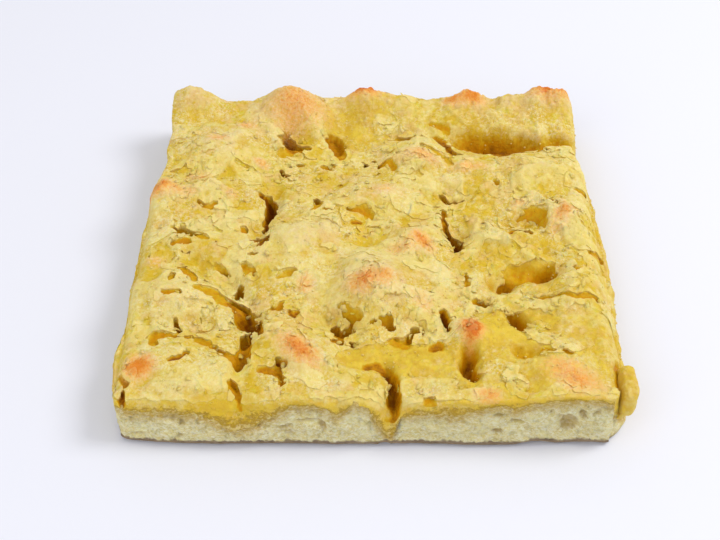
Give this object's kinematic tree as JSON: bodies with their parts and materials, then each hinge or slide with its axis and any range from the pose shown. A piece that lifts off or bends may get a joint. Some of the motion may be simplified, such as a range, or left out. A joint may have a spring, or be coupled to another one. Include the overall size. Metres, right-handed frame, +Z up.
{
  "type": "butter cake square",
  "caption": "Flat square of yeast butter cake with a cut crumb front, finger-pressed hollows and a golden, flaking butter and sugar crust.",
  "frame": {"origin": "middle of the underside, on the face that the cake rests on", "axes": "+Z up, thickness; +X along the cut front, towards the side with the peeled tongue; +Y away from the cut front, towards the mounded baked edge"},
  "size_m": [0.1574, 0.1499, 0.0287],
  "materials": {
    "crumb": "pale ivory open crumb, matt",
    "topping": "golden butter and sugar crust, satin in the hollows, with pale dry flakes and toasted orange spots"
  },
  "bodies": {
    "root": {"yeast_dough": "crumb", "butter_sugar_topping": "topping"}
  },
  "joints": []
}
